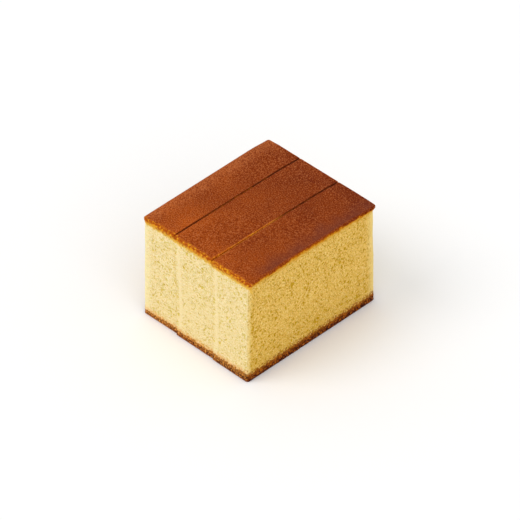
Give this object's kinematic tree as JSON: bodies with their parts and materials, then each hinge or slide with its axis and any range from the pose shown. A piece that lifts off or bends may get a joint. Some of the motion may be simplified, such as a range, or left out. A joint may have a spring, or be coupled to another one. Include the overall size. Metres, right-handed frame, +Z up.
{
  "type": "castella sponge cake",
  "caption": "Block of castella sponge cake cut into thick slices that stand pushed together, with a browned skin on top and a dark base crust.",
  "frame": {"origin": "middle of the block's footprint, on the surface that it stands on", "axes": "+Z up; the slices stand side by side along X and each is longest along Y; their stepped ends face -Y; the outermost cut face of the right slice faces +X"},
  "size_m": [0.0636, 0.0766, 0.0527],
  "materials": {
    "sponge": "matte"
  },
  "bodies": {
    "root": {"slice_left": "sponge", "slice_middle": "sponge", "slice_right": "sponge"}
  },
  "joints": []
}
